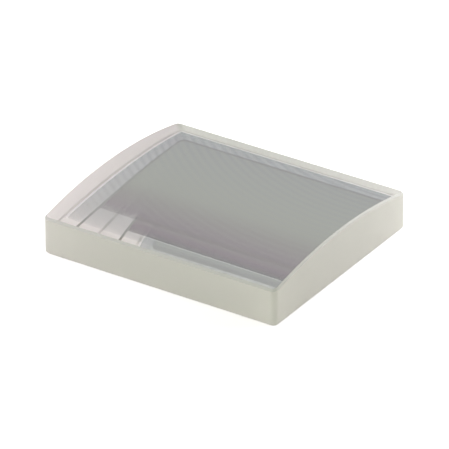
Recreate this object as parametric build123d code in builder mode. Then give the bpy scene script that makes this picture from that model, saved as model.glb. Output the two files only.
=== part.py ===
from build123d import *
import os

# A plano-convex cylindrical lens, cut and polished from one block of optical glass.
# The lower face is flat. The upper face is part of a cylinder whose axis runs along X,
# so the glass is thickest along its middle line and thinnest along its two straight sides.
# The origin is the middle of the flat face, with +Z up and all sizes in millimetres.

# Plan size: the length runs along the cylinder's axis, the width across its curve
length = 34.0
width = 30.0

# Optical surfaces
radius_of_curvature = 67.2
centre_thickness = 6.7

# Ground edges: upright corners, and the protective bevel round both polished faces
corner_radius = 0.8
bevel_leg = 0.25

# The arc drops by its sag from the middle line to the sides, which leaves the edge thickness
half_width = width / 2
sag = radius_of_curvature - (radius_of_curvature**2 - half_width**2) ** 0.5
edge_thickness = centre_thickness - sag

os.makedirs("parts", exist_ok=True)

with BuildPart() as lens:
    # The lens's end view, carried along the cylinder's axis: a flat base, two upright sides and one true arc
    with BuildSketch(Plane.YZ.offset(-length / 2)):
        with BuildLine():
            Polyline(
                (half_width, edge_thickness),
                (half_width, 0),
                (-half_width, 0),
                (-half_width, edge_thickness),
            )
            ThreePointArc(
                (-half_width, edge_thickness),
                (0, centre_thickness),
                (half_width, edge_thickness),
            )
        make_face()
    extrude(amount=length)

    # The four upright corners are ground round
    fillet(lens.edges().filter_by(Axis.Z), radius=corner_radius)

    # The bevel runs round both polished faces, and on the upper one it follows the arc and the corners
    flat_face = lens.faces().sort_by(Axis.Z)[0]
    curved_face = lens.faces().sort_by(Axis.Z)[-1]
    chamfer(flat_face.edges() + curved_face.edges(), length=bevel_leg)

lens.part.label = "lens"
export_step(lens.part, "parts/lens.step")
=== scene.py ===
import math
import bpy
import numpy as np
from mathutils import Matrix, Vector


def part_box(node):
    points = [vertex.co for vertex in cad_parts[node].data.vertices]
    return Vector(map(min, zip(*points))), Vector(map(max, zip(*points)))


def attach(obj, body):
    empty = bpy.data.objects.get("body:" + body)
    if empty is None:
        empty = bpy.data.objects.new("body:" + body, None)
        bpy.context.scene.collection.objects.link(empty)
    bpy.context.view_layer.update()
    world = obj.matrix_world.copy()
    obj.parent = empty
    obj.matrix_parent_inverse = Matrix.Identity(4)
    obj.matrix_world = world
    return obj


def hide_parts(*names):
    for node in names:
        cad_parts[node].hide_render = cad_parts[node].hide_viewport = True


# Plano-convex cylindrical lens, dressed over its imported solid. Lengths are in metres.
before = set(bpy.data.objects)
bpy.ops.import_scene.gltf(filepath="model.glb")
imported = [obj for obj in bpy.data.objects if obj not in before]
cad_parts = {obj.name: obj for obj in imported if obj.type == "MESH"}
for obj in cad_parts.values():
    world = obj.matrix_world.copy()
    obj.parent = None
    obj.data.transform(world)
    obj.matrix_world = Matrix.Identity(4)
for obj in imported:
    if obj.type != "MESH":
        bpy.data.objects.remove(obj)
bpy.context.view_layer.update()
low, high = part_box("lens")
print("frame loaded")


def addNode(tree, kind, **settings):
    # one shader node, with its properties and its plain socket values
    node = tree.nodes.new(kind)
    for name, value in settings.items():
        if name in node.inputs:
            node.inputs[name].default_value = value
        else:
            setattr(node, name, value)
    return node


def newMaterial(name):
    # an empty node tree with its output
    material = bpy.data.materials.new(name)
    material.use_nodes = True
    material.node_tree.nodes.clear()
    return material, addNode(material.node_tree, "ShaderNodeOutputMaterial")


# Polished faces: clear glass under a thin coating. The film's thickness is in nanometres.
archedPolish = {
    "tint": (1.0, 1.0, 1.0, 1.0),
    "clearness": 1.0,
    "roughness": 0.0,
    "index": 1.54,
    "filmThickness": 100.0,
    "filmIndex": 1.38,
}
flatPolish = {
    "tint": (1.0, 1.0, 1.0, 1.0),
    "clearness": 1.0,
    "roughness": 0.0,
    "index": 1.54,
    "filmThickness": 52.0,
    "filmIndex": 2.5,
}
rings = {
    "middle": (0.013, 0.0396, 0.0),  # behind the lens, in the plane of the flat face
    "pitch": 0.00105,
    "swing": 18.0,  # of the film's thickness, to both sides
}


def polishedGlass(name, polish):
    # clear glass with an even film; the shader node is also returned, for a film that varies
    material, out = newMaterial(name)
    tree = material.node_tree
    glass = addNode(tree, "ShaderNodeBsdfPrincipled", **{
        "Base Color": polish["tint"],
        "Roughness": polish["roughness"],
        "IOR": polish["index"],
        "Transmission Weight": polish["clearness"],
        "Thin Film Thickness": polish["filmThickness"],
        "Thin Film IOR": polish["filmIndex"],
    })
    tree.links.new(glass.outputs[0], out.inputs["Surface"])
    return material, glass


def ringedGlass(name, polish):
    # the faint rings where the flat face rests: the film's thickness is its mean plus the swing times
    # the sine of the distance from the rings' middle, with a full turn for each pitch
    material, glass = polishedGlass(name, polish)
    tree = material.node_tree
    place = addNode(tree, "ShaderNodeTexCoord")
    away = addNode(tree, "ShaderNodeVectorMath", operation="DISTANCE")
    away.inputs[1].default_value = rings["middle"]
    turns = addNode(tree, "ShaderNodeMath", operation="MULTIPLY")
    turns.inputs[1].default_value = 2 * math.pi / rings["pitch"]
    wave = addNode(tree, "ShaderNodeMath", operation="SINE")
    thickness = addNode(tree, "ShaderNodeMath", operation="MULTIPLY_ADD")
    thickness.inputs[1].default_value = rings["swing"]
    thickness.inputs[2].default_value = polish["filmThickness"]
    tree.links.new(place.outputs["Object"], away.inputs[0])
    tree.links.new(away.outputs["Value"], turns.inputs[0])
    tree.links.new(turns.outputs[0], wave.inputs[0])
    tree.links.new(wave.outputs[0], thickness.inputs[0])
    tree.links.new(thickness.outputs[0], glass.inputs["Thin Film Thickness"])
    return material


# Ground sides, corners and bevels: a fine matt skin on the glass. Part of the light passes through it
# and is scattered on the other side, and the rest is scattered back.
sideGrind = {
    "skinColour": (0.765, 0.78, 0.70, 1.0),
    "throughColour": (0.96, 0.95, 0.89, 1.0),
    "throughShare": 0.6,
    "glossShare": 0.04,
    "glossRoughness": 0.35,
}
# top bevel: the sides' grind painted darker and less clear, as painted shade along the top edge
topBevelShadedGrind = {
    "skinColour": (0.50, 0.51, 0.47, 1.0),
    "throughColour": (0.75, 0.73, 0.70, 1.0),
    "throughShare": 0.15,
    "glossShare": 0.04,
    "glossRoughness": 0.35,
}
# foot bevel: the sides' grind painted lighter, as painted light along the foot
footBevelLitGrind = {
    "skinColour": (0.82, 0.82, 0.78, 1.0),
    "throughColour": (0.92, 0.90, 0.86, 1.0),
    "throughShare": 0.5,
    "glossShare": 0.04,
    "glossRoughness": 0.35,
}
grain = {
    "gritScale": 4000.0,  # waves in a metre
    "gritDetail": 2.0,
    "gritHeight": 0.00001,
    "gritStrength": 0.12,
    "cloudScale": 260.0,
    "cloudDetail": 3.0,
    "cloudDark": 0.975,
    "cloudLight": 1.025,
}


def cloudTone(tree, colour):
    # the colour times soft clouds of tone, a few millimetres across
    place = addNode(tree, "ShaderNodeTexCoord")
    cloud = addNode(tree, "ShaderNodeTexNoise", Scale=grain["cloudScale"], Detail=grain["cloudDetail"])
    level = addNode(tree, "ShaderNodeMapRange", **{
        "To Min": grain["cloudDark"],
        "To Max": grain["cloudLight"],
    })
    toned = addNode(tree, "ShaderNodeVectorMath", operation="SCALE")
    toned.inputs[0].default_value = colour[:3]
    tree.links.new(place.outputs["Object"], cloud.inputs["Vector"])
    tree.links.new(cloud.outputs[0], level.inputs["Value"])
    tree.links.new(level.outputs["Result"], toned.inputs["Scale"])
    return toned.outputs[0]


def gritNormal(tree):
    # the grinding's fine grit as a bump
    place = addNode(tree, "ShaderNodeTexCoord")
    grit = addNode(tree, "ShaderNodeTexNoise", Scale=grain["gritScale"], Detail=grain["gritDetail"])
    bump = addNode(tree, "ShaderNodeBump", Strength=grain["gritStrength"], Distance=grain["gritHeight"])
    tree.links.new(place.outputs["Object"], grit.inputs["Vector"])
    tree.links.new(grit.outputs[0], bump.inputs["Height"])
    return bump.outputs[0]


def groundGlass(name, grind):
    # a mix of light scattered back and light passed through, with a little soft gloss over both
    material, out = newMaterial(name)
    tree = material.node_tree
    normal = gritNormal(tree)
    skin = addNode(tree, "ShaderNodeBsdfDiffuse")
    through = addNode(tree, "ShaderNodeBsdfTranslucent")
    matt = addNode(tree, "ShaderNodeMixShader", Fac=grind["throughShare"])
    gloss = addNode(tree, "ShaderNodeBsdfAnisotropic", Roughness=grind["glossRoughness"])
    both = addNode(tree, "ShaderNodeMixShader", Fac=grind["glossShare"])
    tree.links.new(cloudTone(tree, grind["skinColour"]), skin.inputs["Color"])
    tree.links.new(cloudTone(tree, grind["throughColour"]), through.inputs["Color"])
    for layer in (skin, through, gloss):
        tree.links.new(normal, layer.inputs["Normal"])
    tree.links.new(skin.outputs[0], matt.inputs[1])
    tree.links.new(through.outputs[0], matt.inputs[2])
    tree.links.new(matt.outputs[0], both.inputs[1])
    tree.links.new(gloss.outputs[0], both.inputs[2])
    tree.links.new(both.outputs[0], out.inputs["Surface"])
    return material


# The lens itself
lens = {
    "radius": 0.0672,  # of the arched face
    "corner": 0.0008,  # upright corners
    "bevel": 0.00025,  # leg along both faces
    "straightRows": 180,
    "cornerRows": 10,
    "columns": 40,
    "sharpAngle": 25.0,  # degrees; an edge that turns more is shaded sharp
}


def archHeight(y):
    # a circle's arc about an axis along X, as high as the solid at its middle line
    return high.z - lens["radius"] + np.sqrt(lens["radius"] ** 2 - y ** 2)


def archSlope(y):
    # the arc's slope: minus the place across, divided by the height over the arc's axis
    return -y / np.sqrt(lens["radius"] ** 2 - y ** 2)


def outlineRows():
    # right half of the plan, from the front side to the back one: half a length, a place across
    # and the outward direction for each row. A corner is a quarter circle, the end is straight.
    corner = lens["corner"]
    quarter = np.linspace(0, math.pi / 2, lens["cornerRows"] + 1)
    angle = np.concatenate([-quarter[::-1], np.zeros(lens["straightRows"] - 1), quarter])
    straight = np.linspace(-1, 1, lens["straightRows"] + 1) * (high.y - corner)
    ends = np.ones(len(quarter) - 1)
    middle = np.concatenate([ends * straight[0], straight, ends * straight[-1]])
    across = middle + corner * np.sin(angle)
    along = high.x - corner + corner * np.cos(angle)
    return along, across, np.cos(angle), np.sin(angle)


def gridFaces(index):
    # four corners of every cell of a grid of vertex numbers, counter-clockwise from above
    return np.stack([index[:-1, :-1], index[:-1, 1:], index[1:, 1:], index[1:, :-1]], -1).reshape(-1, 4)


def rim(grid):
    # the grid's outer vertices in one loop: front, right end, back, left end
    return np.concatenate([grid[0, :-1], grid[:-1, -1], grid[-1, :0:-1], grid[:0:-1, 0]])


def buildLens():
    along, across, outX, outY = outlineRows()
    share = np.linspace(-1, 1, lens["columns"] + 1)
    # arched face: the outline moved in by the bevel's leg, measured along the slope
    inset = lens["bevel"] / np.hypot(1, archSlope(across) * outY)
    topX = (along - inset * outX)[:, None] * share
    topY = np.repeat((across - inset * outY)[:, None], len(share), 1)
    top = np.stack([topX, topY, archHeight(topY)], -1)
    # flat face: the outline moved in by the leg, at height nought
    baseX = (along - lens["bevel"] * outX)[:, None] * share
    baseY = np.repeat((across - lens["bevel"] * outY)[:, None], len(share), 1)
    base = np.stack([baseX, baseY, np.full_like(baseX, low.z)], -1)
    # upright wall: the outline itself, a leg under the arch and a leg over the base
    wallX = along[:, None] * share
    wallY = np.repeat(across[:, None], len(share), 1)
    wallTop = rim(np.stack([wallX, wallY, archHeight(wallY) - lens["bevel"]], -1))
    wallFoot = rim(np.stack([wallX, wallY, np.full_like(wallX, low.z + lens["bevel"])], -1))
    # vertex numbers: arched face, flat face, wall's top, wall's foot
    gridSize = top.shape[0] * top.shape[1]
    topIndex = np.arange(gridSize).reshape(top.shape[:2])
    baseIndex = topIndex + gridSize
    wallTopIndex = 2 * gridSize + np.arange(len(wallTop))
    wallFootIndex = wallTopIndex + len(wallTop)
    # top bevel, sides and foot bevel: each joins a closed loop of vertices to the next one below it
    loops = [rim(topIndex), wallTopIndex, wallFootIndex, rim(baseIndex)]
    strips = [gridFaces(np.stack([np.append(lower, lower[0]), np.append(upper, upper[0])]))
              for upper, lower in zip(loops[:-1], loops[1:])]
    vertices = np.concatenate([top.reshape(-1, 3), base.reshape(-1, 3), wallTop, wallFoot])
    parts = [gridFaces(topIndex), gridFaces(baseIndex)[:, ::-1], *strips]
    mesh = bpy.data.meshes.new("lensGlass")
    mesh.from_pydata(vertices.tolist(), [], np.concatenate(parts).tolist())
    # one material for each part: arched face, flat face, top bevel, sides, foot bevel
    mesh.materials.append(polishedGlass("archedFace", archedPolish)[0])
    mesh.materials.append(ringedGlass("flatFace", flatPolish))
    mesh.materials.append(groundGlass("groundTopBevelShaded", topBevelShadedGrind))
    mesh.materials.append(groundGlass("groundSides", sideGrind))
    mesh.materials.append(groundGlass("groundFootBevelLit", footBevelLitGrind))
    sizes = [len(part) for part in parts]
    mesh.polygons.foreach_set("material_index", np.repeat(np.arange(len(parts)), sizes))
    mesh.polygons.foreach_set("use_smooth", np.ones(sum(sizes), bool))
    mesh.update()
    mesh.set_sharp_from_angle(angle=math.radians(lens["sharpAngle"]))
    piece = bpy.data.objects.new("lensGlass", mesh)
    bpy.context.scene.collection.objects.link(piece)
    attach(piece, "root")
    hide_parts("lens")


buildLens()
print("lens built")

# Floor, sky and lamps
studio = {
    "floorSize": 4.0,
    "floorGap": 0.00002,  # the air under the lens
    "floorColour": (0.8, 0.8, 0.8, 1.0),  # for the light it throws back
    "whiteColour": (0.87, 0.87, 0.87, 1.0),  # as the camera sees it, straight, mirrored or through glass
    "whiteLift": (0.32, 0.32, 0.32, 1.0),  # added to it, to keep it white where the lamps are weak
    "paintedShadowTone": (0.363, 0.370, 0.374, 1.0),  # painted shadow: an even grey glow on the floor under the lens, in place of the lens's shadow
    "paintedShadowMargin": 0.0005,  # by which the painted shadow stays inside the lens's outline
    "skyWhite": (1.0, 1.0, 1.0, 1.0),  # behind the floor, for the camera alone
    "skyStops": [  # sine of the height over the horizon, and the sky's colour there
        (0.05, (0.03, 0.0, 0.02, 1.0)),
        (0.25, (0.18, 0.095, 0.15, 1.0)),
        (0.41, (0.27, 0.24, 0.22, 1.0)),
        (0.50, (0.39, 0.40, 0.32, 1.0)),
        (0.77, (0.53, 0.55, 0.465, 1.0)),
    ],
}
lamps = {  # turn and rise are in degrees, seen from the lens
    "leftLamp": {"turn": -150.0, "rise": 25.0, "away": 0.16, "size": 0.1, "watts": 0.160,
                 "colour": (0.935, 0.78, 1.0)},
    "rightLamp": {"turn": 44.0, "rise": 25.0, "away": 0.1, "size": 0.07, "watts": 0.095,
                  "colour": (0.97, 0.905, 1.0)},
    "backLamp": {"turn": 100.0, "rise": 30.0, "away": 0.5, "size": 0.4, "watts": 1.4,
                 "colour": (0.86, 1.0, 0.90)},
    "frontLamp": {"turn": -100.0, "rise": 30.0, "away": 0.5, "size": 0.4, "watts": 0.96,
                  "colour": (0.87, 1.0, 0.82)},
}


def seenRay(tree):
    # 1 for a ray from the camera, also after a mirror or through glass, until a matt surface scatters it
    path = addNode(tree, "ShaderNodeLightPath")
    seen = path.outputs["Is Camera Ray"]
    for other in ("Is Glossy Ray", "Is Transmission Ray"):
        either = addNode(tree, "ShaderNodeMath", operation="MAXIMUM")
        tree.links.new(seen, either.inputs[0])
        tree.links.new(path.outputs[other], either.inputs[1])
        seen = either.outputs[0]
    for scattered in ("Is Diffuse Ray", "Diffuse Depth"):
        clean = addNode(tree, "ShaderNodeMath", operation="SUBTRACT", use_clamp=True)
        tree.links.new(seen, clean.inputs[0])
        tree.links.new(path.outputs[scattered], clean.inputs[1])
        seen = clean.outputs[0]
    return seen


def paintedShadowMask(tree):
    # mask of the painted shadow: 1 on the floor that the lens covers, where both distances from the
    # middle are less than
    #  half the lens's length and width, less the margin; otherwise 0
    place = addNode(tree, "ShaderNodeTexCoord")
    parts = addNode(tree, "ShaderNodeSeparateXYZ")
    both = addNode(tree, "ShaderNodeMath", operation="MULTIPLY")
    tree.links.new(place.outputs["Object"], parts.inputs[0])
    for axis, reach, socket in zip("XY", (high.x, high.y), both.inputs):
        away = addNode(tree, "ShaderNodeMath", operation="ABSOLUTE")
        inside = addNode(tree, "ShaderNodeMath", operation="LESS_THAN")
        inside.inputs[1].default_value = reach - studio["paintedShadowMargin"]
        tree.links.new(parts.outputs[axis], away.inputs[0])
        tree.links.new(away.outputs[0], inside.inputs[0])
        tree.links.new(inside.outputs[0], socket)
    return both.outputs[0]


def buildFloor():
    # a flat square just under the lens, pale for the light it throws back and white where it is seen,
    # with a painted shadow of even grey where the lens covers it
    half = studio["floorSize"] / 2
    corners = [(-half, -half), (half, -half), (half, half), (-half, half)]
    mesh = bpy.data.meshes.new("floor")
    mesh.from_pydata([(x, y, low.z - studio["floorGap"]) for x, y in corners], [], [(0, 1, 2, 3)])
    material, out = newMaterial("floorPaper")
    tree = material.node_tree
    paper = addNode(tree, "ShaderNodeBsdfDiffuse", Color=studio["floorColour"])
    white = addNode(tree, "ShaderNodeBsdfDiffuse", Color=studio["whiteColour"])
    lift = addNode(tree, "ShaderNodeEmission", Color=studio["whiteLift"])
    bright = addNode(tree, "ShaderNodeAddShader")
    # painted shadow: an even grey glow that stands in for the lens's shadow on the floor under it
    paintedShadow = addNode(tree, "ShaderNodeEmission", Color=studio["paintedShadowTone"])
    shown = addNode(tree, "ShaderNodeMixShader")
    floorMix = addNode(tree, "ShaderNodeMixShader")
    tree.links.new(white.outputs[0], bright.inputs[0])
    tree.links.new(lift.outputs[0], bright.inputs[1])
    tree.links.new(paintedShadowMask(tree), shown.inputs["Fac"])
    tree.links.new(bright.outputs[0], shown.inputs[1])
    tree.links.new(paintedShadow.outputs[0], shown.inputs[2])
    tree.links.new(seenRay(tree), floorMix.inputs["Fac"])
    tree.links.new(paper.outputs[0], floorMix.inputs[1])
    tree.links.new(shown.outputs[0], floorMix.inputs[2])
    tree.links.new(floorMix.outputs[0], out.inputs["Surface"])
    mesh.materials.append(material)
    floor = bpy.data.objects.new("floor", mesh)
    bpy.context.scene.collection.objects.link(floor)


def buildWorld():
    # a soft sky, dark along the horizon. The camera itself sees white.
    world = bpy.data.worlds.new("studio")
    world.use_nodes = True
    tree = world.node_tree
    tree.nodes.clear()
    out = addNode(tree, "ShaderNodeOutputWorld")
    place = addNode(tree, "ShaderNodeTexCoord")
    parts = addNode(tree, "ShaderNodeSeparateXYZ")
    ramp = addNode(tree, "ShaderNodeValToRGB")
    stops = ramp.color_ramp.elements
    while len(stops) < len(studio["skyStops"]):
        stops.new(1.0)
    for stop, (height, colour) in zip(stops, studio["skyStops"]):
        stop.position = height
        stop.color = colour
    sky = addNode(tree, "ShaderNodeBackground")
    white = addNode(tree, "ShaderNodeBackground", Color=studio["skyWhite"])
    path = addNode(tree, "ShaderNodeLightPath")
    mix = addNode(tree, "ShaderNodeMixShader")
    tree.links.new(place.outputs["Generated"], parts.inputs[0])
    tree.links.new(parts.outputs["Z"], ramp.inputs[0])
    tree.links.new(ramp.outputs[0], sky.inputs["Color"])
    tree.links.new(path.outputs["Is Camera Ray"], mix.inputs["Fac"])
    tree.links.new(sky.outputs[0], mix.inputs[1])
    tree.links.new(white.outputs[0], mix.inputs[2])
    tree.links.new(mix.outputs[0], out.inputs["Surface"])
    bpy.context.scene.world = world


def direction(turn, rise):
    # unit vector, turned from +X towards +Y and raised, both in degrees
    turn, rise = math.radians(turn), math.radians(rise)
    return Vector((math.cos(turn) * math.cos(rise), math.sin(turn) * math.cos(rise), math.sin(rise)))


def buildLamp(name, lamp):
    # a square soft box that faces the lens, and doesn't show itself in the glass
    data = bpy.data.lights.new(name, "AREA")
    data.size = lamp["size"]
    data.energy = lamp["watts"]
    data.color = lamp["colour"]
    item = bpy.data.objects.new(name, data)
    item.location = direction(lamp["turn"], lamp["rise"]) * lamp["away"]
    item.rotation_euler = item.location.to_track_quat("Z", "Y").to_euler()
    item.visible_camera = False
    item.visible_transmission = False
    item.visible_glossy = False
    bpy.context.scene.collection.objects.link(item)


buildFloor()
buildWorld()
for name, lamp in lamps.items():
    buildLamp(name, lamp)
print("studio built")

# Camera: a long focal length, from over the front right corner
view = {
    "turn": -56.9,  # degrees, as is the rise
    "rise": 28.8,
    "distance": 0.6735,
    "focal": 437.0,  # millimetres, as is the sensor
    "sensor": 36.0,
    "nearest": 0.01,
    "farthest": 20.0,
    "aimHeight": 0.0025,
    "aimRight": -0.00007,
    "aimUp": -0.00029,
}
bounces = {
    "total": 32,
    "glossy": 24,  # light is mirrored many times between the two polished faces
    "transmission": 24,
}


def buildCamera():
    # it looks at a point in the lens's middle line, moved a little in the plane of the picture
    back = direction(view["turn"], view["rise"])
    right = Vector((0, 0, 1)).cross(back).normalized()
    up = back.cross(right)
    aim = Vector((0, 0, view["aimHeight"])) + right * view["aimRight"] + up * view["aimUp"]
    data = bpy.data.cameras.new("camera")
    data.lens = view["focal"]
    data.sensor_width = view["sensor"]
    data.clip_start = view["nearest"]
    data.clip_end = view["farthest"]
    camera = bpy.data.objects.new("camera", data)
    camera.location = aim + back * view["distance"]
    camera.rotation_euler = back.to_track_quat("Z", "Y").to_euler()
    bpy.context.scene.collection.objects.link(camera)
    bpy.context.scene.camera = camera


buildCamera()
scene = bpy.context.scene
scene.view_settings.view_transform = "Standard"
scene.cycles.max_bounces = bounces["total"]
scene.cycles.glossy_bounces = bounces["glossy"]
scene.cycles.transmission_bounces = bounces["transmission"]
print("camera placed")
